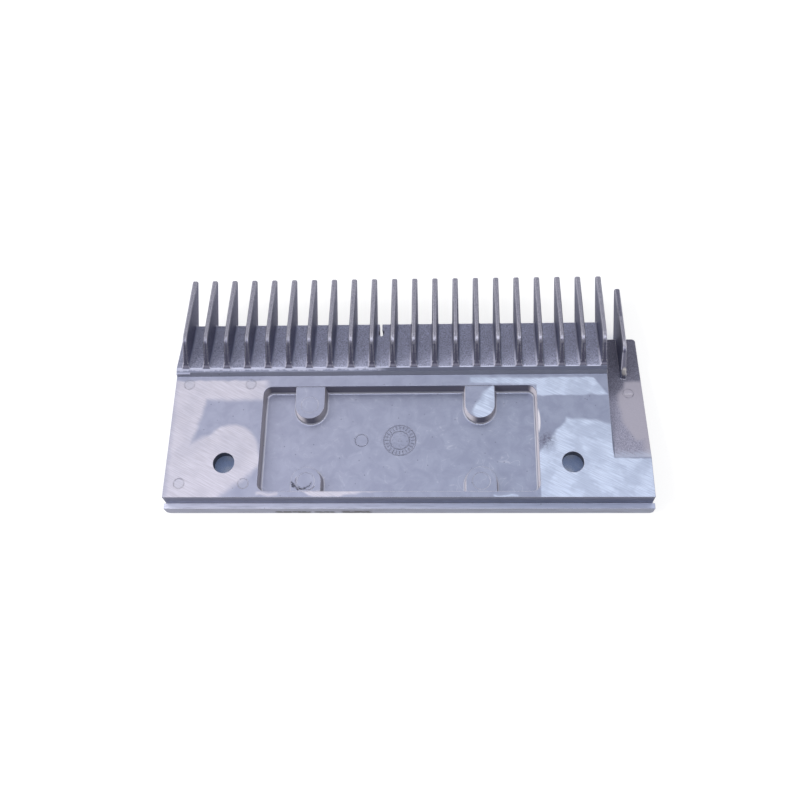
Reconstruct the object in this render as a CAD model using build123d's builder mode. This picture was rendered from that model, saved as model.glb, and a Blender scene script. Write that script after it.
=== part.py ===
import os
from math import radians, tan

from build123d import *

# Escalator comb plate: the right-hand end segment, one casting in aluminium.
# It lies on its tread face with its seating face up.
# X runs along the row of teeth, +Y points from the rear edge to the tips and +Z is up.
# The origin is the middle of the footprint, on the tread face. Sizes are in millimetres.

# Overall size
overall_length = 205.1
overall_depth = 104.4
plate_thickness = 13.6
end_inset = 1.0
end_taper = 0.57

# Countersunk screw holes
left_hole_from_end = 25.7
right_hole_from_end = 33.4
hole_from_rear = 17.9
hole_radius = 4.55
screw_head_radius = 8.5
screw_head_depth = 5.6

# Teeth, with their half width at the level of the seating face
tooth_pitch = 9.068
first_tooth_from_left = 5.77
last_tooth_margin = 8.0
tooth_half_width = 1.27
tooth_draft = 2.33
tooth_edge_break = 0.38

# Side view of a tooth
tooth_reach = 20.38
tip_rise = 2.8
tip_height = 1.4
tip_radius = 0.65
crest_slope = 11.3
peak_radius = 6.0
front_slope = 33.9
tread_slope = 20.5

# Rear ledge
ledge_width = 2.4
ledge_height = 6.3
rear_wall_lean = 0.37
ledge_end_radius = 1.8

# Riser at the end of the seating face and the sloping land that the teeth spring from
riser_run = 1.4
riser_rise = 1.4
riser_radius = 0.35
land_rise = 2.09
land_width = 1.67
pad_length = 6.6
pad_setback = 0.6

# Sloping floor between the teeth, with a rounded lip at its start
web_length = 23.22
web_drop = 2.6
web_ridge = 0.3
floor_sag = 0.55
floor_radius = 0.95
lip_setback = 0.12
lip_width = 0.55
lip_slope = 10.0
lip_radius = 1.0
peak_clearance = 2.65

# Recess in the seating face
recess_from_left_hole = 14.8
recess_from_right_hole = 13.7
recess_from_rear_wall = 2.53
recess_from_riser = 4.97
recess_depth = 6.0
recess_corner_radius = 3.6
recess_floor_radius = 1.05
recess_draft = 4.0

# Half-round lugs on the long walls of the recess
lug_radius = 6.3
left_lug_wall_gap = 20.3
right_lug_wall_gap = 24.2
far_lug_wall_gap = 8.4
near_lug_wall_gap = 4.6
lug_draft = 4.0
lug_setdown = 0.4

# End strip: a ramp below the seating face, with a lowered last tooth
strip_lead = 16.73
strip_setback = 25.5
strip_end_thickness = 4.09
strip_corner_radius = 1.5
end_tooth_drop = 6.0
end_tooth_setback = 3.1
end_tread_slope = 24.5
end_front_slope = 42.0

# Chip in the edge of the web, left of the tooth nearest the middle
chip_width = 1.2
chip_length = 4.6
chip_radius = 1.15
chip_from_tooth = 3.12

# Ejector marks
mark_depth = 0.15
small_mark_radius = 2.2
large_mark_radius = 3.7
near_mark_from_rear_wall = 6.03
far_mark_from_riser = 3.67
outer_mark_from_left = 7.5
inner_mark_from_hole = 8.9
strip_mark_from_right = 7.6
strip_mark_from_riser = 7.07

# Ragged flaw beside one ejector mark
flaw_depth = 0.4
flaw_width = 0.75

# Blank stamp in the recess: two rings with divisions between them, and a smaller ring beside it
stamp_shift_x = 0.25
stamp_shift_y = 0.95
stamp_radius = 7.0
stamp_inner_radius = 4.3
stamp_divisions = 24
stamp_spacing = 16.4
small_stamp_radius = 2.9
stamp_line = 0.3
stamp_depth = 0.15

# Tread grooves between the teeth
groove_width = 4.6
groove_depth = 1.2
groove_draft = 20.0
groove_border = 7.0

# Middle of the holes, and the sketch planes there: seating face, lug tops and two upright ones
hole_spacing = overall_length - left_hole_from_end - right_hole_from_end
hole_mid_from_left = left_hole_from_end + hole_spacing / 2
holes_x = hole_mid_from_left - overall_length / 2
holes_y = hole_from_rear - overall_depth / 2
seat_origin = (holes_x, holes_y, plate_thickness)
seat = Plane(origin=seat_origin)
lug_top = seat.offset(-lug_setdown)
side = Plane(origin=seat_origin, x_dir=(0, 1, 0), z_dir=(1, 0, 0))
across = Plane(origin=seat_origin, x_dir=(1, 0, 0), z_dir=(0, -1, 0))

# Places along Y and Z, from the hole line and from the seating face
tread_level = -plate_thickness
rear = -hole_from_rear
tips = overall_depth - hole_from_rear
wall_foot = rear + ledge_width
wall_top = wall_foot + rear_wall_lean
web_end = tips - tooth_reach
teeth_start = web_end - web_length
land_start = teeth_start - land_width
seat_end = land_start - riser_run
lip_edge = teeth_start - lip_setback
floor_start = lip_edge + lip_width
strip_start = wall_top + strip_lead
strip_end = tips - strip_setback
tip_foot = tip_rise - tip_height

# Places along X, from the middle of the holes
left_end = -hole_mid_from_left
right_end = overall_length - hole_mid_from_left
body_left = left_end + end_inset
body_right = right_end - end_inset
first_tooth = left_end + first_tooth_from_left
tooth_count = 1 + int((right_end - last_tooth_margin - first_tooth) / tooth_pitch)
teeth_x = [first_tooth + i * tooth_pitch for i in range(tooth_count)]
last_full_tooth = teeth_x[-2]
end_tooth = teeth_x[-1]
chip_x = min(teeth_x, key=abs) - tooth_pitch + chip_from_tooth

# Holes, recess, lugs and marks
left_hole, right_hole = -hole_spacing / 2, hole_spacing / 2
left_wall = left_hole + recess_from_left_hole
right_wall = right_hole - recess_from_right_hole
near_wall = wall_top + recess_from_rear_wall
far_wall = seat_end - recess_from_riser
recess_length = right_wall - left_wall
recess_width = far_wall - near_wall
recess_middle = ((left_wall + right_wall) / 2, (near_wall + far_wall) / 2)
lugs_x = [left_wall + left_lug_wall_gap, right_wall - right_lug_wall_gap]
near_lug_y = near_wall + near_lug_wall_gap
far_lug_y = far_wall - far_lug_wall_gap
marks_x = [left_end + outer_mark_from_left, left_hole + inner_mark_from_hole]
marks_y = [wall_top + near_mark_from_rear_wall, seat_end - far_mark_from_riser]
strip_mark = (right_end - strip_mark_from_right, seat_end - strip_mark_from_riser)
stamp_x = recess_middle[0] + stamp_shift_x
stamp_y = recess_middle[1] + stamp_shift_y

# Side view worked out: slopes as rise over run, corners of the teeth
front_rise = tan(radians(front_slope))
end_front_rise = tan(radians(end_front_slope))
crest_fall = tan(radians(crest_slope))
tread_rise = tan(radians(tread_slope))
end_tread_rise = tan(radians(end_tread_slope))
lip_fall = tan(radians(lip_slope))
lip_level = land_rise - lip_setback * (land_rise - riser_rise) / land_width
floor_level = lip_level + lip_width * lip_fall
ramp_fall = (plate_thickness - strip_end_thickness) / (strip_end - strip_start)
tooth_flare = tan(radians(tooth_draft))
peak_y = (tip_rise + crest_fall * tips - land_rise + front_rise * teeth_start) / (front_rise + crest_fall)
full_peak = (peak_y, land_rise + front_rise * (peak_y - teeth_start))
clear = full_peak[1] + peak_clearance
end_tip = tips - end_tooth_setback
end_peak = (peak_y - end_tooth_setback, full_peak[1] - end_tooth_drop)
slope_start = tips - (tip_foot - tread_level) / tread_rise
end_slope_start = end_tip - (tip_foot - end_tooth_drop - tread_level) / end_tread_rise
end_front_level = end_peak[1] - end_peak[0] * end_front_rise
end_toe = (strip_start * ramp_fall - end_front_level) / (end_front_rise + ramp_fall)
ridge = floor_radius + web_ridge
ridge_start = teeth_start + ridge / front_rise
strip_wall = last_full_tooth + tooth_half_width
strip_reach = right_end - last_full_tooth + clear
groove_end = slope_start + groove_depth / tread_rise

# How closely a corner or face has to lie where it is looked for
tolerance = 0.01


def half_width(z):
    """Half width of a tooth at the height z over the seating face."""
    return tooth_half_width - z * tooth_flare


def underside(y):
    """Height of the sloping part of the tread face at the place y."""
    return tip_foot - (tips - y) * tread_rise


def ramp_level(y):
    """Height of the ramp in the end strip at the place y."""
    return (strip_start - y) * ramp_fall


def tooth_section(drop):
    """Cross-section of a tooth, wider towards the tread, for a tooth lowered by drop."""
    top = half_width(clear + drop)
    bottom = half_width(tread_level + drop)
    with BuildSketch(across) as section:
        with BuildLine():
            Polyline((-top, clear), (top, clear), (bottom, tread_level), (-bottom, tread_level), close=True)
        make_face()
    return section.sketch


def comb_tooth(outline, drop):
    """One tooth at the middle of the holes, from the corners of its side view."""
    with BuildPart() as tooth:
        with BuildSketch(side):
            with BuildLine():
                Polyline(*outline, close=True)
            make_face()
            fillet(vertices().sort_by(Axis.Y)[-1], peak_radius)
            fillet(vertices().group_by(Axis.X)[-1], tip_radius)
        extrude(amount=tooth_pitch / 2, both=True)
        extrude(tooth_section(drop), amount=-2 * tips, mode=Mode.INTERSECT)
        outline_edges = edges().filter_by(Axis.X, reverse=True)
        root_level = plate_thickness + outline[0][1]
        chamfer(outline_edges.filter_by(lambda edge: edge.center().Z > root_level), tooth_edge_break)
    return tooth.part


full_tooth = comb_tooth(
    [
        (teeth_start, land_rise),
        full_peak,
        (tips, tip_rise),
        (tips, tip_foot),
        (web_end - ridge, underside(web_end - ridge)),
        (teeth_start, tread_level / 2),
    ],
    drop=0,
)
last_tooth = comb_tooth(
    [
        (end_toe, ramp_level(end_toe)),
        end_peak,
        (end_tip, tip_rise - end_tooth_drop),
        (end_tip, tip_foot - end_tooth_drop),
        (end_slope_start, tread_level),
        (end_toe, tread_level),
    ],
    drop=end_tooth_drop,
)

# The space between two full teeth, with rounded corners along its floor
with BuildPart() as tooth_gap:
    with BuildSketch(side):
        with BuildLine():
            floor_middle = ((floor_start + web_end) / 2, (floor_level - web_drop) / 2 - floor_sag)
            floor_curve = ThreePointArc((floor_start, floor_level), floor_middle, (web_end, -web_drop))
            Polyline(
                floor_curve @ 1,
                (web_end, tread_level - clear),
                (tips + clear, tread_level - clear),
                (tips + clear, clear),
                (seat_end, clear),
                (seat_end, floor_level - (floor_start - seat_end) * lip_fall),
                floor_curve @ 0,
            )
        make_face()
        at_lip = vertices().filter_by(lambda corner: abs(corner.Y - floor_level) < tolerance)
        fillet(at_lip, lip_radius)
    extrude(amount=tooth_pitch, both=True)
    with BuildSketch(across):
        with BuildLine():
            top = tooth_pitch / 2 - half_width(clear)
            bottom = tooth_pitch / 2 - half_width(tread_level - clear)
            low = tread_level - clear
            Polyline((-top, clear), (top, clear), (bottom, low), (-bottom, low), close=True)
        make_face()
    extrude(amount=-2 * tips, mode=Mode.INTERSECT)
    floor_faces = faces().filter_by(lambda face: face.normal_at().Z < -0.9 and face.center().Z > 0)
    floor_edges = floor_faces.edges().filter_by(Axis.X, reverse=True)
    fillet(floor_edges, floor_radius)

# The space over the ramp in the end strip, open to the right
with BuildPart() as strip_space:
    with BuildSketch(side):
        with BuildLine():
            Polyline(
                (strip_start - clear, ramp_level(strip_start - clear)),
                (strip_end, ramp_level(strip_end)),
                (strip_end, tread_level - clear),
                (tips + clear, tread_level - clear),
                (tips + clear, clear),
                (strip_start - clear, clear),
                close=True,
            )
        make_face()
    extrude(amount=strip_reach)
    with BuildSketch(across):
        with BuildLine():
            low = tread_level - clear
            Polyline(
                (half_width(clear), clear),
                (strip_reach, clear),
                (strip_reach, low),
                (half_width(low), low),
                close=True,
            )
        make_face()
    extrude(amount=2 * tips, both=True, mode=Mode.INTERSECT)
    ramp = faces().filter_by(lambda face: face.normal_at().Z < -0.9).sort_by(Axis.Z)[-1]
    fillet(ramp.edges().sort_by(Axis.X)[0], floor_radius)

# The casting
with BuildPart() as comb_plate:
    # Plate and web in side view, from the left end to the last full tooth
    with BuildSketch(side.offset(left_end)):
        with BuildLine():
            Polyline(
                (rear, tread_level),
                (rear, tread_level + ledge_height),
                (wall_foot, tread_level + ledge_height),
                (wall_top, 0),
                (seat_end, 0),
                (land_start, riser_rise),
                (teeth_start, land_rise),
                (ridge_start, land_rise + ridge),
                (web_end, ridge - web_drop),
                (web_end, underside(web_end)),
                (slope_start, tread_level),
                close=True,
            )
        make_face()
        fillet(vertices().filter_by(lambda corner: abs(corner.X - seat_end) < tolerance), riser_radius)
    extrude(amount=strip_wall - left_end)

    # End strip, up to the right end
    with BuildSketch(side.offset(strip_wall)):
        with BuildLine():
            Polyline(
                (rear, tread_level),
                (rear, tread_level + ledge_height),
                (wall_foot, tread_level + ledge_height),
                (wall_top, 0),
                (strip_end, 0),
                (strip_end, tread_level),
                close=True,
            )
        make_face()
    extrude(amount=right_end - strip_wall)

    # Pad that widens the land at the left end
    with BuildSketch(seat):
        with Locations((body_left, seat_end + pad_setback)):
            Rectangle(pad_length, land_width, align=Align.MIN)
    extrude(amount=riser_rise)

    # Ends of the body, which taper a little towards the teeth
    with BuildSketch(Plane(origin=(holes_x, holes_y, 0))):
        with BuildLine():
            inset = (tips - rear) * tan(radians(end_taper))
            Polyline(
                (body_left, rear),
                (body_right, rear),
                (body_right - inset, tips),
                (body_left + inset, tips),
                close=True,
            )
        make_face()
    extrude(amount=2 * plate_thickness, mode=Mode.INTERSECT)

    # Rear ledge, a little longer than the body and rounded at the lower corners of its ends
    with BuildSketch(Plane.XZ.offset(-(holes_y + rear))):
        with Locations((0, ledge_height / 2)):
            Rectangle(overall_length, ledge_height)
        fillet(vertices().group_by(Axis.Y)[0], ledge_end_radius)
    extrude(amount=-(wall_foot - rear))

    # Spaces between the teeth, then the teeth
    with Locations(*[(x - tooth_pitch / 2, 0, 0) for x in teeth_x[:-1]]):
        add(tooth_gap.part, mode=Mode.SUBTRACT)
    with Locations((last_full_tooth, 0, 0)):
        add(strip_space.part, mode=Mode.SUBTRACT)
    upright = edges().filter_by(lambda edge: abs((edge % 0.5).Z) > 0.9)
    at_strip = upright.filter_by(lambda edge: edge.center().X > holes_x + end_tooth)
    fillet(at_strip.sort_by(Axis.Y)[-1], strip_corner_radius)
    with Locations(*[(x, 0, 0) for x in teeth_x[:-1]]):
        add(full_tooth)
    with Locations((end_tooth, 0, 0)):
        add(last_tooth)

    # Recess and its four lugs
    with BuildSketch(seat):
        with Locations(recess_middle):
            RectangleRounded(recess_length, recess_width, recess_corner_radius)
    extrude(amount=-recess_depth, taper=recess_draft, mode=Mode.SUBTRACT)
    for wall, centre in ((far_wall, far_lug_y), (near_wall, near_lug_y)):
        with BuildSketch(lug_top):
            for x in lugs_x:
                with Locations((x, centre)):
                    Circle(lug_radius)
                with Locations((x, (centre + wall) / 2)):
                    Rectangle(2 * lug_radius, abs(wall - centre))
        extrude(amount=lug_setdown - recess_depth, taper=-lug_draft)
    recess_level = plate_thickness - recess_depth
    recess_floor = faces().filter_by(lambda face: abs(face.center().Z - recess_level) < tolerance)
    fillet(recess_floor.sort_by(SortBy.AREA)[-1].edges(), recess_floor_radius)

    # Screw holes, sunk from the tread face
    for x in (left_hole, right_hole):
        with Locations(Plane(origin=(holes_x + x, holes_y, screw_head_depth), z_dir=(0, 0, -1))):
            CounterSinkHole(hole_radius, screw_head_radius, plate_thickness - screw_head_depth, 90)

    # Chip in the web edge
    with BuildSketch(seat):
        with Locations((chip_x, web_end)):
            Rectangle(chip_width, 2 * chip_length)
        with Locations((chip_x + chip_width / 4, web_end - chip_length)):
            Ellipse(chip_radius, 1.5 * chip_radius)
    extrude(amount=tread_level, mode=Mode.SUBTRACT)

    # Ejector marks on the seating face, on three lugs and on the ramp
    with BuildSketch(seat):
        with Locations(*[(x, y) for x in marks_x for y in marks_y]):
            Circle(small_mark_radius)
    extrude(amount=-mark_depth, mode=Mode.SUBTRACT)
    with BuildSketch(lug_top):
        with Locations(*[(x, near_lug_y) for x in lugs_x], (lugs_x[0], far_lug_y)):
            Circle(large_mark_radius)
    extrude(amount=-mark_depth, mode=Mode.SUBTRACT)
    with BuildSketch(seat.offset(ramp_level(strip_mark[1]))):
        with Locations(strip_mark):
            Circle(small_mark_radius)
    extrude(amount=-mark_depth, mode=Mode.SUBTRACT)

    # Flaw beside the mark on the near left lug
    with BuildSketch(lug_top):
        with Locations((lugs_x[0], near_lug_y)):
            Circle(large_mark_radius + flaw_width)
        with Locations((lugs_x[0] + flaw_width / 2, near_lug_y + flaw_width)):
            Circle(large_mark_radius + flaw_width, mode=Mode.SUBTRACT)
    extrude(amount=-flaw_depth, mode=Mode.SUBTRACT)

    # Blank stamp in the recess floor
    with BuildSketch(seat.offset(-recess_depth)):
        with Locations((stamp_x, stamp_y)):
            for radius in (stamp_radius, stamp_inner_radius):
                Circle(radius)
                Circle(radius - stamp_line, mode=Mode.SUBTRACT)
            with PolarLocations((stamp_radius + stamp_inner_radius) / 2, stamp_divisions):
                Rectangle((stamp_radius - stamp_inner_radius) / 2, stamp_line)
        with Locations((stamp_x - stamp_spacing, stamp_y)):
            Circle(small_stamp_radius)
            Circle(small_stamp_radius - stamp_line, mode=Mode.SUBTRACT)
    extrude(amount=-stamp_depth, mode=Mode.SUBTRACT)

    # Tread grooves
    with BuildSketch(Plane.XY):
        for x in teeth_x[:-1]:
            with Locations((holes_x + x + tooth_pitch / 2, holes_y + rear + groove_border)):
                Rectangle(groove_width, groove_end - rear - groove_border, align=(Align.CENTER, Align.MIN))
    extrude(amount=groove_depth, taper=groove_draft, mode=Mode.SUBTRACT)

os.makedirs("parts", exist_ok=True)
comb_plate.part.label = "comb_plate"
export_step(comb_plate.part, "parts/comb_plate.step")
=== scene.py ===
import math

import bpy
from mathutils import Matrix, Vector

# Escalator comb plate: looks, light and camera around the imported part. Places in the material are in
# millimetres from the middle of the two screw holes, on the seating face.
HOLES = Vector((-3.85, -34.3, 13.6))
MM_IN_METRE = 1000.0

# Camera: place, lens and sensor in millimetres, turn in degrees, shift as a share of the picture's
# width, and the nearest distance it shows in metres
CAMERA_AT = Vector((18.494, -167.282, 390.995))
CAMERA_TURN = (23.1447, 2.8578, 0.8363)
LENS = 43.16
SENSOR = 36.0
SHIFT = -0.5 / 800
NEAREST = 0.01

# Places on the casting: screw holes, teeth and the floor between them, recess, rear wall and heights
HOLE_X = 73.0
HOLE_RADIUS = 4.9
TEETH_START = 42.9
FIRST_TOOTH = -92.93
TOOTH_PITCH = 9.068
FLOOR_START = 43.3
FLOOR_SLOPE = 0.215
RECESS_X = (-59.0, 60.2)
RECESS_Y = (-13.2, 35.6)
REAR_WALL = -15.0
LEDGE_LEVEL = -6.4
TREAD_LEVEL = -13.6

# Middles of the ejector marks on the left block and on the ramp, and their radius
SMALL_MARKS = ((-91.2, -9.1), (-91.2, 36.16), (-64.1, -9.1), (-64.1, 36.16), (98.8, 32.76))
SMALL_MARK_RADIUS = 2.2

# How far a face has to point up for a zone to start and to be full
FLAT = (0.97, 0.995)
ALMOST_FLAT = (0.9, 0.97)

# Radius of the rounded edges and depth of the relief, in metres
EDGE_RADIUS = 0.0004
SKIN_DEPTH = 0.00004
GRIT_DEPTH = 0.00014
BRUSH_DEPTH = 0.00004

# Tones of the as-cast skin. A pair runs from the darker tone to the lighter one.
CAST_LEFT = (0.33, 0.345, 0.47, 1), (0.38, 0.395, 0.525, 1)
CAST_RIGHT = (0.26, 0.285, 0.40, 1), (0.31, 0.34, 0.46, 1)
FLOOR_CAST = (0.25, 0.26, 0.355, 1), (0.56, 0.575, 0.75, 1)
# Flanks of the teeth: grainy skin darkened as painted shade
FLANK_CAST_SHADE = (0.13, 0.132, 0.20, 1), (0.26, 0.265, 0.375, 1)
CREST_CAST = (0.19, 0.19, 0.245, 1), (0.36, 0.355, 0.44, 1)
# Fronts of the teeth: grainy skin darkened as painted shade
FRONT_CAST_SHADE = (0.125, 0.122, 0.19, 1), (0.20, 0.195, 0.28, 1)
RAMP_CAST = (0.27, 0.27, 0.355, 1), (0.44, 0.435, 0.56, 1)
SPECK = (0.17, 0.17, 0.25, 1)
FLOW_MARK = (0.58, 0.59, 0.70, 1)
DARK_FLOOR = (0.10, 0.10, 0.14, 1)
DARK_RAMP = (0.10, 0.10, 0.145, 1)
# Painted light on the feet of the teeth that face left
PAINTED_FOOT_LIGHT = (0.62, 0.61, 0.74, 1)

# Tones of the land, the walls, the ledge and the holes. The pair of the ledge runs from left to right,
# and the pair of the recess walls from the long walls to the right one.
# Painted shade on the land
LAND_SHADE = (0.10, 0.105, 0.15, 1)
# Painted highlight on the ends of the gaps between the teeth
LIP_HIGHLIGHT = (0.75, 0.75, 0.86, 1)
# Painted light on the riser
RISER_LIGHT = (0.52, 0.54, 0.70, 1)
# Painted shade on the rear wall
REAR_WALL_SHADE = (0.07, 0.075, 0.12, 1)
LOWER_WALL_TONE = (0.13, 0.13, 0.17, 1)
LEDGE_TONES = (0.74, 0.75, 0.90, 1), (0.46, 0.50, 0.66, 1)
# Painted shade on the long recess walls and the left one, painted light on the right one
RECESS_WALL_LIGHT_AND_SHADE = (0.15, 0.145, 0.20, 1), (0.92, 0.86, 0.90, 1)
LEFT_WALL_SHADE = (0.42, 0.395, 0.43, 1)
# Painted highlight on the rounded feet of the recess walls
RECESS_FOOT_HIGHLIGHT = (0.66, 0.66, 0.74, 1)
# Painted shade on the walls of the screw holes
HOLE_SHADE = (0.045, 0.05, 0.08, 1)

# Tones of the linished metal. Warmer on the left and bluer on the right is painted light.
LINISHED_LEFT = (0.54, 0.52, 0.61, 1), (0.66, 0.64, 0.75, 1)
LINISHED_RIGHT = (0.46, 0.52, 0.68, 1), (0.61, 0.685, 0.86, 1)
CLOUD_LEFT = (0.42, 0.42, 0.52, 1)
HAZE_RIGHT = (0.34, 0.385, 0.52, 1)
LINISHED_RAMP = (0.42, 0.40, 0.48, 1)
RAMP_START = (0.50, 0.54, 0.68, 1)

# Tones of the marks and the flaws, the painted shadow along the lower rear edge, and the painted highlights
# on edges and peaks
PIT = (0.08, 0.08, 0.11, 1)
STAIN = (0.12, 0.12, 0.18, 1)
BARE_LIP = (0.80, 0.77, 0.83, 1)
CRACK = (0.04, 0.04, 0.06, 1)
FLASH = (0.62, 0.63, 0.76, 1)
STAMP = (0.17, 0.17, 0.23, 1)
WORN_FOOT = (0.80, 0.76, 0.76, 1)
# Painted shadow along the lower rear edge
EDGE_SHADOW = (0.03, 0.03, 0.045, 1)
MARK_RIM = (0.17, 0.165, 0.22, 1)
MARK_DISC = (0.42, 0.43, 0.53, 1)
ENGRAVED = (0.16, 0.16, 0.21, 1)
# Painted highlight on the rounded edges
EDGE_HIGHLIGHT = (0.80, 0.79, 0.88, 1)
# Painted highlight on the peaks of the teeth
PEAK_HIGHLIGHT = (0.74, 0.73, 0.83, 1)

# Floor under the part: white in the open, with a painted shadow, blue and then nearly black, under cover,
# with the reach of the cover in metres
WHITE = (1, 1, 1, 1)
COVERED_SHADOW = (0.15, 0.215, 0.40, 1)
HIDDEN_SHADOW = (0.02, 0.025, 0.045, 1)
FLOOR_TINT = (0.35, 0.35, 0.36, 1)
FLOOR_LIGHT = 0.8
COVER_REACH = 0.02

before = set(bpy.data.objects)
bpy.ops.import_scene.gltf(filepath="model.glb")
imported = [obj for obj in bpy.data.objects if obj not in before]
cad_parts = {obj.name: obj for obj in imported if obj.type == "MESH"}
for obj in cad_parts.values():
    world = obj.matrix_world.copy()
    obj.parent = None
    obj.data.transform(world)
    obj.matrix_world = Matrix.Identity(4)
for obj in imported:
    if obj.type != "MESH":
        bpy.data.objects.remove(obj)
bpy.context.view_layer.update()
scene = bpy.context.scene
scene.view_settings.view_transform = "Standard"


class Graph:
    """Shorthand for building a node tree."""

    def __init__(self, tree):
        self.tree = tree
        tree.nodes.clear()

    def node(self, kind, **settings):
        made = self.tree.nodes.new(kind)
        for name, value in settings.items():
            setattr(made, name, value)
        return made

    def put(self, socket, value):
        """Sets a socket from a number, a colour or another node's output."""
        if isinstance(value, bpy.types.NodeSocket):
            self.tree.links.new(value, socket)
        else:
            socket.default_value = value

    def math(self, operation, a, b=0.0):
        made = self.node("ShaderNodeMath", operation=operation)
        self.put(made.inputs[0], a)
        self.put(made.inputs[1], b)
        return made.outputs[0]

    def add(self, a, b):
        return self.math("ADD", a, b)

    def sub(self, a, b):
        return self.math("SUBTRACT", a, b)

    def mul(self, a, b):
        return self.math("MULTIPLY", a, b)

    def absolute(self, a):
        return self.math("ABSOLUTE", a)

    def both(self, *shares):
        """1 where every share is 1."""
        result = shares[0]
        for share in shares[1:]:
            result = self.math("MULTIPLY", result, share)
        return result

    def either(self, *shares):
        """The largest of the shares."""
        result = shares[0]
        for share in shares[1:]:
            result = self.math("MAXIMUM", result, share)
        return result

    def invert(self, a):
        return self.math("SUBTRACT", 1.0, a)

    def scaled(self, vector, factors, shift):
        made = self.node("ShaderNodeVectorMath", operation="MULTIPLY_ADD")
        for socket, value in zip(made.inputs, (vector, factors, shift)):
            self.put(socket, value)
        return made.outputs["Vector"]

    def ramp(self, value, low, high, to_low=0.0, to_high=1.0):
        """Smooth step from to_low at low up to to_high at high."""
        made = self.node("ShaderNodeMapRange", interpolation_type="SMOOTHSTEP")
        ends = {"From Min": low, "From Max": high, "To Min": to_low, "To Max": to_high}
        for name, number in ends.items():
            self.put(made.inputs[name], number)
        self.put(made.inputs["Value"], value)
        return made.outputs["Result"]

    def mix(self, share, a, b):
        """Colour a where share is 0 and colour b where it is 1."""
        made = self.node("ShaderNodeMix", data_type="RGBA")
        self.put(made.inputs[0], share)
        self.put(made.inputs[6], a)
        self.put(made.inputs[7], b)
        return made.outputs[2]

    def blend(self, share, a, b):
        """Number a where share is 0 and number b where it is 1."""
        made = self.node("ShaderNodeMix", data_type="FLOAT")
        self.put(made.inputs[0], share)
        self.put(made.inputs[2], a)
        self.put(made.inputs[3], b)
        return made.outputs[0]

    def tones(self, pattern, pair, low=0.3, high=0.7):
        """From the first colour of a pair to the second, as the pattern goes from low to high."""
        return self.mix(self.ramp(pattern, low, high), *pair)

    def noise(self, place, scale, detail=2.0, roughness=0.5, distortion=0.0):
        made = self.node("ShaderNodeTexNoise")
        self.put(made.inputs["Vector"], place)
        self.put(made.inputs["Scale"], scale)
        self.put(made.inputs["Detail"], detail)
        self.put(made.inputs["Roughness"], roughness)
        self.put(made.inputs["Distortion"], distortion)
        return made.outputs["Fac"]

    def cells(self, place, scale):
        made = self.node("ShaderNodeTexVoronoi", feature="F1")
        self.put(made.inputs["Vector"], place)
        self.put(made.inputs["Scale"], scale)
        return made.outputs["Distance"]

    def turned(self, place, degrees, stretch):
        """Coordinates turned about Z, then stretched along each axis."""
        made = self.node("ShaderNodeMapping", vector_type="TEXTURE")
        self.put(made.inputs["Vector"], place)
        made.inputs["Rotation"].default_value = (0.0, 0.0, math.radians(degrees))
        made.inputs["Scale"].default_value = stretch
        return made.outputs["Vector"]

    def split(self, vector):
        made = self.node("ShaderNodeSeparateXYZ")
        self.put(made.inputs[0], vector)
        return made.outputs[0], made.outputs[1], made.outputs[2]

    def away(self, x, y, at):
        """Distance from a point."""
        dx = self.sub(x, at[0])
        dy = self.sub(y, at[1])
        return self.math("SQRT", self.add(self.mul(dx, dx), self.mul(dy, dy)))

    def spot(self, x, y, at, radius, soft):
        """1 inside a circle, falling to 0 over a soft border."""
        return self.ramp(self.away(x, y, at), radius + soft, radius - soft)

    def ring(self, x, y, at, radius, half_width, soft):
        """1 on a circle line, falling to 0 on both sides."""
        off = self.absolute(self.sub(self.away(x, y, at), radius))
        return self.ramp(off, half_width + soft, half_width - soft)

    def off_line(self, x, y, start, end):
        """Distance from the line from start to end, above 0 on its left."""
        along = (Vector(end) - Vector(start)).normalized()
        dx = self.sub(x, start[0])
        dy = self.sub(y, start[1])
        return self.sub(self.mul(dy, along.x), self.mul(dx, along.y))

    def beside(self, x, y, start, end, soft):
        """1 on the left of the line from start to end, 0 on its right."""
        return self.ramp(self.off_line(x, y, start, end), -soft, soft)

    def band(self, x, y, start, end, half_width, soft):
        """1 along the piece of line from start to end."""
        way = Vector(end) - Vector(start)
        along = way.normalized()
        dx = self.sub(x, start[0])
        dy = self.sub(y, start[1])
        run = self.add(self.mul(dx, along.x), self.mul(dy, along.y))
        off = self.absolute(self.off_line(x, y, start, end))
        wide = self.ramp(off, half_width + soft, half_width - soft)
        past_start = self.ramp(run, -soft, soft)
        before_end = self.ramp(run, way.length + soft, way.length - soft)
        return self.both(wide, past_start, before_end)

    def patch(self, x, y, corners, soft):
        """1 inside a convex outline whose corners run anticlockwise, falling to 0 over a soft border."""
        inside = None
        for start, end in zip(corners, corners[1:] + corners[:1]):
            side = self.beside(x, y, start, end, soft)
            inside = side if inside is None else self.math("MINIMUM", inside, side)
        return inside

    def bump(self, height, distance, strength, normal):
        made = self.node("ShaderNodeBump")
        self.put(made.inputs["Height"], height)
        self.put(made.inputs["Distance"], distance)
        self.put(made.inputs["Strength"], strength)
        self.put(made.inputs["Normal"], normal)
        return made.outputs["Normal"]

    def surface(self, shader):
        self.put(self.node("ShaderNodeOutputMaterial").inputs[0], shader)


def new_material(name):
    material = bpy.data.materials.new(name)
    material.use_nodes = True
    return material, Graph(material.node_tree)


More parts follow.
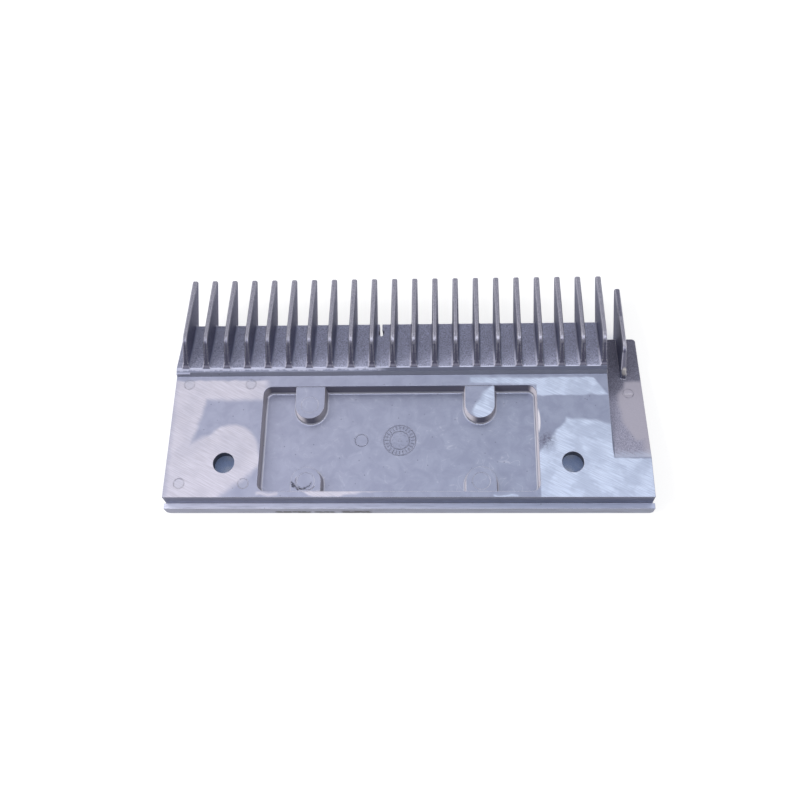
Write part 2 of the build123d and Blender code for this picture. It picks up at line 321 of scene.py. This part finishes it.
class Skin:
    """Coordinates and patterns of the casting, its zones as shares from 0 to 1, and their colours."""

    def __init__(self, graph):
        self.g = graph
        place = graph.node("ShaderNodeTexCoord").outputs["Object"]
        self.place = graph.scaled(place, (MM_IN_METRE,) * 3, tuple(-HOLES))
        self.x, self.y, self.z = graph.split(self.place)
        self.normal = graph.node("ShaderNodeNewGeometry").outputs["Normal"]
        self.right, self.back, self.up = graph.split(self.normal)
        self.make_patterns()
        self.find_recess()
        self.find_seat()
        self.find_ramp()
        self.find_teeth()
        self.find_land_and_rear()

    def box(self, soft, x=(None, None), y=(None, None), z=(None, None)):
        """1 between the lowest and highest x, y and z that are given, falling to 0 over soft borders."""
        sides = []
        for value, (low, high) in ((self.x, x), (self.y, y), (self.z, z)):
            if low is not None:
                sides.append(self.g.ramp(value, low - soft, low + soft))
            if high is not None:
                sides.append(self.g.ramp(value, high + soft, high - soft))
        return self.g.both(*sides)

    def make_patterns(self):
        g, place = self.g, self.place
        # Coordinates that wander a little, for the edges of the patches
        sway = g.mul(g.sub(g.noise(place, 0.2, 1.0), 0.5), 1.8)
        self.xs = g.add(self.x, sway)
        self.ys = g.sub(self.y, sway)

        self.fine = g.noise(place, 1.6, 4.0, 0.65)
        self.grain = g.noise(place, 2.3, 3.0, 0.65)
        self.mottle = g.noise(place, 0.16, 4.0, 0.6, 0.6)
        self.clouds = g.noise(place, 0.07, 3.0, 0.5)
        self.ragged = g.noise(place, 0.7, 3.0, 0.7)
        self.lines = g.noise(g.turned(place, -27.0, (8.0, 0.38, 1.0)), 1.0, 2.0, 0.5)
        self.streaks = g.noise(g.turned(place, 0.0, (9.0, 0.7, 0.7)), 1.0, 3.0, 0.6)
        self.flow = g.ramp(g.absolute(g.sub(g.noise(place, 0.09, 2.0, 0.5, 1.5), 0.5)), 0.012, 0.0)
        self.pits = g.ramp(g.cells(place, 0.26), 0.10, 0.03)

    def find_recess(self):
        """Recess with its walls and their rounded feet, and the screw holes."""
        g, up = self.g, self.up
        self.in_recess = self.box(0.2, x=RECESS_X, y=RECESS_Y)
        sunk = g.both(self.in_recess, self.box(0.15, z=(None, -0.65)))
        self.recess_walls = g.both(sunk, g.ramp(up, 0.45, 0.2))
        self.recess_feet = g.both(sunk, g.ramp(up, 0.25, 0.5), g.ramp(up, 0.98, 0.9))
        deep = self.box(0.15, z=(None, -5.65))
        self.recess_floor = g.both(self.in_recess, deep, g.ramp(up, 0.95, 0.99))
        holes = [g.spot(self.x, self.y, (x, 0.0), HOLE_RADIUS, 0.1) for x in (-HOLE_X, HOLE_X)]
        self.hole_walls = g.both(g.either(*holes), self.box(0.15, z=(None, -0.25)))

    def find_seat(self):
        """Seating face, and the linished patches on it."""
        g = self.g
        self.seat = g.both(g.ramp(self.up, *FLAT), self.box(0.15, z=(-1.05, 0.35)))
        patches = g.either(self.linished_rails(), self.linished_left(), self.linished_right())
        self.ground = g.both(patches, self.seat)

    def linished_left(self):
        """Left block: all but an as-cast area, one corner and the foot of the riser."""
        g, xs, ys = self.g, self.xs, self.ys
        around_hole = g.spot(xs, ys, (-70.6, 5.6), 11.6, 1.0)
        upper = g.patch(xs, ys, [(-82.7, 28.8), (-87.4, 9.2), (-56.0, 24.9), (-56.0, 28.8)], 1.5)
        lower = g.patch(xs, ys, [(-80.5, 15.5), (-72.0, 4.0), (-56.0, 4.0), (-56.0, 27.5)], 1.6)
        as_cast = g.both(g.either(upper, lower), g.invert(around_hole))
        corner = g.beside(xs, ys, (-58.0, -2.0), (-74.5, -15.6), 1.8)
        riser_foot = g.ramp(ys, 37.2, 38.4)
        end_edge = g.mul(g.ramp(xs, -95.0, -97.8), 0.45)
        left_out = g.either(as_cast, corner, riser_foot, end_edge)
        return g.both(g.ramp(xs, -54.5, -58.6), g.invert(left_out))

    def linished_right(self):
        """Right block: a band along the riser and the area around the hole."""
        g, xs, ys = self.g, self.xs, self.ys
        band = g.patch(xs, ys, [(55.0, 38.4), (55.0, 30.2), (89.5, 30.2), (83.5, 38.4)], 0.5)
        near = [(71.5, 19.5), (58.0, 2.8), (58.0, -17.0)]
        far = [(108.0, -17.0), (108.0, 3.0), (90.0, 16.2), (84.0, 18.6)]
        around_hole = g.patch(xs, ys, near + far, 0.9)
        off_ramp = g.either(g.ramp(self.x, 90.2, 89.6), g.ramp(ys, 2.2, 1.0))
        return g.both(g.ramp(self.x, 59.0, 59.6), g.either(band, g.both(around_hole, off_ramp)))

    def linished_rails(self):
        """Narrow rails before and behind the recess, and one lug."""
        g, xs, ys = self.g, self.xs, self.ys
        far = g.patch(xs, ys, [(31.0, 38.6), (31.0, 36.2), (60.0, 35.0), (60.0, 38.4)], 0.8)
        near_corners = [(-39.0, -12.4), (-36.0, -14.6), (-27.0, -15.0), (-10.0, -12.8), (-24.0, -12.2)]
        near = g.patch(xs, ys, near_corners, 0.6)
        near_left = g.band(xs, ys, (-58.0, -13.8), (-49.0, -13.8), 0.6, 0.7)
        near_right = g.band(xs, ys, (40.0, -14.6), (50.0, -14.6), 0.3, 0.5)
        lug_corners = [(38.0, 35.0), (34.5, 28.5), (30.6, 24.3), (33.5, 20.0), (41.5, 20.0), (42.0, 35.0)]
        lug = g.patch(xs, ys, lug_corners, 0.9)
        return g.either(far, near, near_left, near_right, lug)

    def find_ramp(self):
        """Ramp of the end strip, with its own linished patch."""
        g, x, y = self.g, self.x, self.y
        past_wall = g.both(g.ramp(x, 88.8, 89.2), g.ramp(y, 0.5, 1.6))
        self.on_ramp = g.both(past_wall, g.ramp(self.z, -0.02, -0.15), g.ramp(self.up, *ALMOST_FLAT))
        corners = [(97.8, 38.6), (94.0, 30.0), (94.8, 19.0), (99.5, 10.0), (110.0, 10.0), (110.0, 39.6)]
        middle = g.patch(self.xs, self.ys, corners, 1.3)
        rim = g.both(g.ramp(x, 100.5, 105.0), g.ramp(y, 26.0, 14.0))
        self.ramp_patch = g.both(self.on_ramp, g.either(middle, rim))

    def find_teeth(self):
        """Crests, fronts, peaks, flanks and feet of the teeth, the floors between them, all rough zones."""
        g, x, y, up, back = self.g, self.x, self.y, self.up, self.back
        behind = g.ramp(y, TEETH_START, TEETH_START + 0.5)
        above_floor = g.add(self.z, g.mul(g.sub(y, FLOOR_START), FLOOR_SLOPE))
        high = g.ramp(above_floor, 2.7, 3.2)
        low = g.invert(high)
        self.from_middle = g.math("PINGPONG", g.sub(x, FIRST_TOOTH), TOOTH_PITCH / 2)
        self.crests = g.both(behind, high, g.ramp(up, 0.5, 0.75))
        full_fronts = g.both(self.box(0.1, y=(TEETH_START, None)), g.ramp(back, -0.20, -0.42))
        end_front = g.both(self.box(0.25, x=(94.25, None), y=(38.25, None)), g.ramp(back, -0.5, -0.6))
        self.fronts = g.either(full_fronts, end_front)
        self.peaks = g.both(self.crests, g.ramp(y, 47.0, 49.4), g.ramp(y, 57.0, 55.0))
        in_gap = g.both(g.ramp(self.z, 1.3, 1.6), g.ramp(self.from_middle, 1.3, 1.6))
        self.gap_lips = g.both(g.ramp(y, 42.65, 42.8), g.ramp(y, 43.3, 42.9), in_gap)
        self.floors = g.both(behind, g.ramp(up, 0.75, 0.9), low)
        self.flanks = g.both(behind, g.ramp(x, 103.0, 102.0), g.ramp(up, 0.3, 0.1))
        self.feet = g.both(behind, low, g.ramp(up, 0.25, 0.5), g.ramp(up, 0.96, 0.86))
        rough_ramp = g.both(self.on_ramp, g.invert(self.ramp_patch))
        self.rough_zone = g.either(self.floors, self.flanks, rough_ramp)

    def find_land_and_rear(self):
        """Land and riser in front of the teeth, rear wall, and the ledge with the wall under it."""
        g = self.g
        self.land = self.box(0.1, y=(41.2, 42.7), z=(1.3, None))
        self.riser = self.box(0.1, y=(39.8, 41.3), z=(0.2, 1.4))
        self.rear_faces = g.both(self.box(0.1, y=(None, REAR_WALL)), g.ramp(self.back, -0.6, -0.9))
        self.rear_wall = g.both(self.rear_faces, self.box(0.2, z=(LEDGE_LEVEL, None)))
        self.lower_wall = g.both(self.rear_faces, self.box(0.2, z=(None, LEDGE_LEVEL)))
        on_ledge = g.both(g.ramp(self.y, -15.0, -15.3), g.ramp(self.z, -6.0, -6.2))
        self.ledge = g.both(on_ledge, g.ramp(self.up, 0.7, 0.9))

    def cast_colour(self):
        """As-cast skin, darker to the right, with specks and flow marks."""
        g = self.g
        across = g.ramp(self.x, -70.0, 75.0)
        colour = g.mix(across, g.tones(self.mottle, CAST_LEFT), g.tones(self.mottle, CAST_RIGHT))
        colour = g.mix(g.mul(g.ramp(self.fine, 0.62, 0.78), 0.35), colour, SPECK)
        flow = g.both(self.flow, self.in_recess, g.ramp(self.mottle, 0.45, 0.65, 0.0, 0.35))
        return g.mix(flow, colour, FLOW_MARK)

    def paint_teeth_and_ramp(self, colour):
        """Grainy skin of the floors, crests, fronts, flanks and ramp; painted shade darkens fronts and
        flanks.
        """
        g, x, grain = self.g, self.x, self.grain
        floor_cast = g.tones(grain, FLOOR_CAST, 0.34, 0.66)
        floor_cast = g.mix(g.ramp(x, -92.0, -45.0, 0.24, 0.0), floor_cast, DARK_FLOOR)
        colour = g.mix(self.floors, colour, floor_cast)
        colour = g.mix(self.crests, colour, g.tones(grain, CREST_CAST, 0.34, 0.66))
        # Painted shade: darker fronts and flanks of the teeth
        colour = g.mix(self.fronts, colour, g.tones(grain, FRONT_CAST_SHADE))
        colour = g.mix(self.flanks, colour, g.tones(grain, FLANK_CAST_SHADE))
        # Painted light on the feet of the teeth that face left
        left_feet = g.both(self.feet, g.ramp(self.right, 0.1, -0.3))
        colour = g.mix(g.mul(left_feet, 0.75), colour, PAINTED_FOOT_LIGHT)
        shaded = g.both(g.ramp(self.y, 27.0, 36.0), g.ramp(grain, 0.3, 0.7, 0.8, 0.5))
        ramp_cast = g.mix(shaded, g.tones(grain, RAMP_CAST, 0.35, 0.65), DARK_RAMP)
        return g.mix(self.on_ramp, colour, ramp_cast)

    def paint_walls(self, colour):
        """Darker land, walls and holes, lighter riser, gap ends and ledge; most of it is painted light and
        shade.
        """
        g, x, right = self.g, self.x, self.right
        # Painted shade on the land, stronger to the right
        colour = g.mix(g.mul(self.land, g.ramp(x, -15.0, -3.0, 0.3, 0.85)), colour, LAND_SHADE)
        # Painted highlight on the gap ends
        colour = g.mix(g.mul(self.gap_lips, 0.45), colour, LIP_HIGHLIGHT)
        # Painted light on the riser
        colour = g.mix(g.mul(self.riser, 0.5), colour, RISER_LIGHT)
        # Painted shade on the rear wall above the ledge, stronger towards the top
        above_ledge = g.mul(self.rear_wall, g.ramp(self.z, -6.3, -3.0, 0.2, 0.75))
        colour = g.mix(above_ledge, colour, REAR_WALL_SHADE)
        ledge_tone = g.tones(x, LEDGE_TONES, -90.0, 90.0)
        colour = g.mix(g.mul(self.ledge, g.ramp(self.streaks, 0.2, 0.6, 0.45, 1.0)), colour, ledge_tone)
        under_ledge = g.mul(self.lower_wall, g.ramp(self.streaks, 0.3, 0.7, 0.2, 0.65))
        colour = g.mix(under_ledge, colour, LOWER_WALL_TONE)
        # Painted shade on the long recess walls and the left one, painted light on the right one
        wall_tone = g.tones(right, RECESS_WALL_LIGHT_AND_SHADE, -0.1, -0.6)
        wall_tone = g.mix(g.ramp(right, 0.2, 0.7), wall_tone, LEFT_WALL_SHADE)
        colour = g.mix(self.recess_walls, colour, wall_tone)
        # Painted highlight on the rounded feet of the recess walls
        colour = g.mix(g.mul(self.recess_feet, 0.8), colour, RECESS_FOOT_HIGHLIGHT)
        # Painted shade on the walls of the screw holes
        return g.mix(self.hole_walls, colour, HOLE_SHADE)

    def paint_linished(self, colour):
        """Bright linished metal, warmer on the left and bluer on the right as painted light, and pits in
        the rest.
        """
        g, xs, ys = self.g, self.xs, self.ys
        left = g.tones(self.lines, LINISHED_LEFT)
        left = g.mix(g.ramp(self.clouds, 0.42, 0.62, 0.0, 0.3), left, CLOUD_LEFT)
        haze = g.ramp(g.noise(self.place, 0.11, 3.0, 0.55), 0.42, 0.62, 0.0, 0.5)
        by_hole = g.spot(xs, ys, (82.5, 4.0), 3.5, 3.5)
        by_end = g.spot(xs, ys, (98.0, -5.5), 3.0, 3.0)
        haze = g.either(haze, g.mul(g.either(by_hole, by_end), 0.45))
        right = g.mix(haze, g.tones(self.lines, LINISHED_RIGHT), HAZE_RIGHT)
        colour = g.mix(self.ground, colour, g.mix(g.ramp(self.x, 20.0, 30.0), left, right))
        colour = g.mix(g.mul(self.ramp_patch, 0.85), colour, LINISHED_RAMP)
        ragged_start = g.ramp(g.add(ys, g.mul(g.sub(self.lines, 0.5), 6.0)), 6.0, 2.6)
        colour = g.mix(g.mul(g.both(self.on_ramp, ragged_start), 0.75), colour, RAMP_START)
        return g.mix(g.mul(g.both(self.pits, g.invert(self.ground)), 0.5), colour, PIT)

    def paint_stain_and_lip(self, colour):
        """Soft dark stain beside the recess, and a bare lip of metal on the edge above it."""
        g = self.g
        patchy = g.ramp(g.noise(self.place, 0.9, 3.0, 0.7), 0.35, 0.65, 0.25, 0.95)
        stain = g.mul(g.spot(self.xs, self.ys, (62.3, 9.6), 3.2, 3.0), patchy)
        colour = g.mix(g.both(stain, self.seat), colour, STAIN)
        narrow_x = g.mul(g.sub(self.x, 59.3), 5.0)
        lip = g.both(g.spot(narrow_x, self.y, (0.0, 18.5), 5.0, 1.2), self.seat)
        return g.mix(g.mul(lip, 0.85), colour, BARE_LIP)

    def paint_flaws(self, colour):
        """Flaw by one ejector mark, flash on the land, rough stamp, scuffed foot of the end tooth, painted
        edge shadow.
        """
        g, x, y, fine = self.g, self.x, self.y, self.fine
        torn = g.add(y, g.mul(g.sub(self.ragged, 0.5), 2.5))
        outer = g.spot(self.xs, torn, (-39.9, -7.2), 4.7, 0.2)
        inner = g.spot(self.xs, torn, (-39.5, -6.7), 4.1, 0.3)
        broken = g.both(g.ramp(fine, 0.38, 0.48), g.ramp(self.up, *ALMOST_FLAT))
        crack = g.both(outer, g.invert(inner), g.ramp(self.ys, -7.8, -8.8), broken)
        colour = g.mix(g.mul(crack, 0.9), colour, CRACK)

        shaggy = g.add(g.mul(g.noise(self.place, 0.45, 2.0, 0.6), 2.2), g.mul(fine, 1.6))
        flash = g.both(self.land, g.ramp(x, -4.0, -12.0), g.ramp(g.add(y, shaggy), 43.75, 44.0))
        colour = g.mix(g.mul(flash, 0.7), colour, FLASH)
        stamp = g.both(g.spot(x, y, (0.8, 12.1), 7.2, 0.2), self.recess_floor)
        colour = g.mix(g.mul(stamp, g.ramp(fine, 0.50, 0.62, 0.0, 0.45)), colour, STAMP)
        colour = g.mix(g.spot(x, y, (97.9, 42.6), 1.2, 0.5), colour, WORN_FOOT)

        # Painted shadow in patches along the lower rear edge, where it meets the floor
        first = self.edge_shadow_patch(-51.7, -36.7, 3.0, 0.7)
        second = self.edge_shadow_patch(-35.1, -26.7, 2.7, 0.7)
        third = self.edge_shadow_patch(-23.4, -10.9, 3.4, 0.8)
        broken = g.ramp(g.noise(self.place, 0.5, 2.0), 0.36, 0.48, 0.3, 1.0)
        edge_shadows = g.both(self.rear_faces, g.either(first, second, third), broken)
        return g.mix(g.mul(edge_shadows, 0.9), colour, EDGE_SHADOW)

    def edge_shadow_patch(self, start, end, height, soft):
        """Share of one patch of painted shadow along the lower rear edge, from start to end along X."""
        return self.g.band(self.x, self.z, (start, TREAD_LEVEL), (end, TREAD_LEVEL), height, soft)

    def paint_ejector_marks(self, colour):
        """Thin dark rims and duller discs of the small ejector marks."""
        g, x, y, radius = self.g, self.x, self.y, SMALL_MARK_RADIUS
        rims = g.either(*[g.ring(x, y, at, radius, 0.2, 0.25) for at in SMALL_MARKS])
        broken = g.ramp(g.noise(self.place, 0.35, 2.0, 0.6), 0.34, 0.56, 0.25, 0.75)
        colour = g.mix(g.both(rims, broken, g.ramp(self.up, *ALMOST_FLAT)), colour, MARK_RIM)
        discs = g.either(*[g.spot(x, y, at, radius - 0.3, 0.2) for at in SMALL_MARKS])
        return g.mix(g.mul(g.both(discs, self.seat), 0.3), colour, MARK_DISC)

    def add_relief(self):
        """Fine rounded edges, and the bumps of the skin, the grit and the brushing lines."""
        g = self.g
        bevel = g.node("ShaderNodeBevel", samples=6)
        bevel.inputs["Radius"].default_value = EDGE_RADIUS
        self.rounded = bevel.outputs[0]
        skin = g.bump(g.noise(self.place, 1.1, 3.0, 0.6), SKIN_DEPTH, 0.5, self.rounded)
        grit = g.bump(g.mul(self.grain, self.rough_zone), GRIT_DEPTH, 0.45, skin)
        return g.bump(g.mul(self.lines, self.ground), BRUSH_DEPTH, 0.4, grit)

    def paint_highlights(self, colour):
        """Painted highlights, on smoother metal, on edges and tooth peaks, and darker lines in the recess
        floor.
        """
        g, x, y, fine = self.g, self.x, self.y, self.fine
        turn = g.node("ShaderNodeVectorMath", operation="DOT_PRODUCT")
        g.put(turn.inputs[0], self.rounded)
        g.put(turn.inputs[1], self.normal)
        turned_edge = g.ramp(turn.outputs["Value"], 0.99, 0.92)
        self.edge = g.both(turned_edge, g.ramp(fine, 0.25, 0.50), g.invert(self.recess_floor))
        # Painted highlight on the peaks, along the sides of the crest and in a bar across, also smoother
        # metal
        bar = g.both(g.ramp(y, 50.6, 51.6), g.ramp(y, 54.6, 53.4), g.ramp(x, -80.0, -10.0, 0.1, 0.75))
        highlit_lines = g.either(g.ramp(self.from_middle, 0.3, 0.55), bar)
        highlit_peak = g.both(self.peaks, highlit_lines, g.ramp(fine, 0.36, 0.54))
        self.highlit_peak = g.mul(highlit_peak, g.ramp(x, -80.0, 20.0, 0.55, 1.0))
        colour = g.mix(g.mul(g.both(turned_edge, self.recess_floor), 0.35), colour, ENGRAVED)
        # Painted highlight on the rounded edges
        colour = g.mix(g.mul(self.edge, 0.75), colour, EDGE_HIGHLIGHT)
        return g.mix(g.mul(g.both(self.highlit_peak, g.invert(self.edge)), 0.6), colour, PEAK_HIGHLIGHT)

    def roughness(self):
        g = self.g
        value = g.blend(self.rough_zone, g.add(0.34, g.mul(self.mottle, 0.10)), 0.65)
        value = g.blend(self.ground, value, 0.33)
        value = g.blend(self.highlit_peak, value, 0.36)
        return g.blend(self.edge, value, 0.28)

    def metallic(self):
        g = self.g
        value = g.blend(self.rough_zone, 0.85, 0.65)
        value = g.blend(g.either(self.recess_walls, self.feet, self.hole_walls), value, 0.2)
        return g.blend(g.either(self.ground, self.edge, self.highlit_peak), value, 1.0)


def cast_aluminium():
    """As-cast skin with linished patches, grainy sunk faces and fine rounded edges."""
    material, g = new_material("cast_aluminium")
    skin = Skin(g)
    colour = skin.cast_colour()
    colour = skin.paint_teeth_and_ramp(colour)
    colour = skin.paint_walls(colour)
    colour = skin.paint_linished(colour)
    colour = skin.paint_stain_and_lip(colour)
    colour = skin.paint_flaws(colour)
    colour = skin.paint_ejector_marks(colour)
    relief = skin.add_relief()
    colour = skin.paint_highlights(colour)

    shader = g.node("ShaderNodeBsdfPrincipled")
    g.put(shader.inputs["Base Color"], colour)
    g.put(shader.inputs["Metallic"], skin.metallic())
    g.put(shader.inputs["Roughness"], skin.roughness())
    g.put(shader.inputs["Normal"], relief)
    g.surface(shader.outputs[0])
    return material


def watched(g):
    """1 for the camera and for reflections and refractions, 0 for the light that falls on things."""
    path = g.node("ShaderNodeLightPath")
    names = ("Is Camera Ray", "Is Glossy Ray", "Is Transmission Ray")
    return g.either(*[path.outputs[name] for name in names])


def stage_material(name, tint, own_light):
    """Pale surface that is white to the camera and to metal, with a painted shadow where the part covers
    it.
    """
    material, g = new_material(name)
    open_sky = g.node("ShaderNodeAmbientOcclusion", samples=8)
    open_sky.inputs["Distance"].default_value = COVER_REACH
    # Painted shadow: the floor's own light turns blue and then nearly black under cover
    free = g.ramp(open_sky.outputs["AO"], 0.12, 0.22)
    half_free = g.ramp(open_sky.outputs["AO"], 0.05, 0.13)
    glow = g.mix(free, g.mix(half_free, HIDDEN_SHADOW, COVERED_SHADOW), WHITE)
    diffuse = g.node("ShaderNodeBsdfDiffuse")
    diffuse.inputs[0].default_value = tint
    light = g.node("ShaderNodeEmission")
    g.put(light.inputs[0], glow)
    g.put(light.inputs[1], g.mul(watched(g), own_light))
    together = g.node("ShaderNodeAddShader")
    g.put(together.inputs[0], diffuse.outputs[0])
    g.put(together.inputs[1], light.outputs[0])
    g.surface(together.outputs[0])
    return material


def plane(name, corners, material):
    mesh = bpy.data.meshes.new(name)
    mesh.from_pydata([Vector(c) for c in corners], [], [tuple(range(len(corners)))])
    mesh.materials.append(material)
    made = bpy.data.objects.new(name, mesh)
    scene.collection.objects.link(made)
    return made


def card(name, corners, strength):
    """Card that only shows in reflections."""
    material, g = new_material(name)
    light = g.node("ShaderNodeEmission")
    light.inputs[0].default_value = (0.92, 0.94, 1.0, 1)
    light.inputs[1].default_value = strength
    g.surface(light.outputs[0])
    made = plane(name, corners, material)
    made.visible_camera = False
    made.visible_diffuse = False
    made.visible_shadow = False
    return made


def lamp(name, at, side, power):
    """Square lamp aimed at the part, left out of reflections."""
    light = bpy.data.lights.new(name, "AREA")
    light.shape = "RECTANGLE"
    light.size = side
    light.size_y = side
    light.energy = power
    made = bpy.data.objects.new(name, light)
    scene.collection.objects.link(made)
    made.location = at
    made.rotation_euler = (-Vector(at)).to_track_quat("-Z", "Y").to_euler()
    made.visible_glossy = False
    return made


def sky():
    """White surroundings, a little dimmer as a source of light."""
    world = bpy.data.worlds.new("studio")
    scene.world = world
    world.use_nodes = True
    g = Graph(world.node_tree)
    back = g.node("ShaderNodeBackground")
    back.inputs[0].default_value = WHITE
    g.put(back.inputs[1], g.blend(watched(g), 0.6, 1.0))
    g.put(g.node("ShaderNodeOutputWorld").inputs[0], back.outputs[0])


def place_camera():
    lens = bpy.data.cameras.new("camera")
    lens.lens = LENS
    lens.sensor_width = SENSOR
    lens.shift_x = SHIFT
    lens.clip_start = NEAREST
    camera = bpy.data.objects.new("camera", lens)
    scene.collection.objects.link(camera)
    camera.location = CAMERA_AT / MM_IN_METRE
    camera.rotation_euler = [math.radians(a) for a in CAMERA_TURN]
    scene.camera = camera


metal = cast_aluminium()
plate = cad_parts["comb_plate"]
plate.data.materials.clear()
plate.data.materials.append(metal)

# Floor, cards and light, in metres
half = 3.0
floor = plane("floor", [(-half, -half, 0), (half, -half, 0), (half, half, 0), (-half, half, 0)],
              stage_material("floor", FLOOR_TINT, FLOOR_LIGHT))
front = card("front_card",
             [(-4, -1.2, 0.02), (4, -1.2, 0.02), (4, -0.42, 1.6), (-4, -0.42, 1.6)], strength=0.22)
overhead = card("overhead_card",
                [(-1.3, -0.5, 1.5), (1.0, -0.5, 1.5), (1.0, 0.1, 1.5), (-1.3, 0.1, 1.5)], strength=2.35)
right = card("right_card",
             [(1.6, -2, 0.02), (1.6, 3, 0.02), (1.2, 3, 1.2), (1.2, -2, 1.2)], strength=0.45)
sky()
lamp("key", (-1.4, -0.1, 1.3), side=0.8, power=20.0)
place_camera()
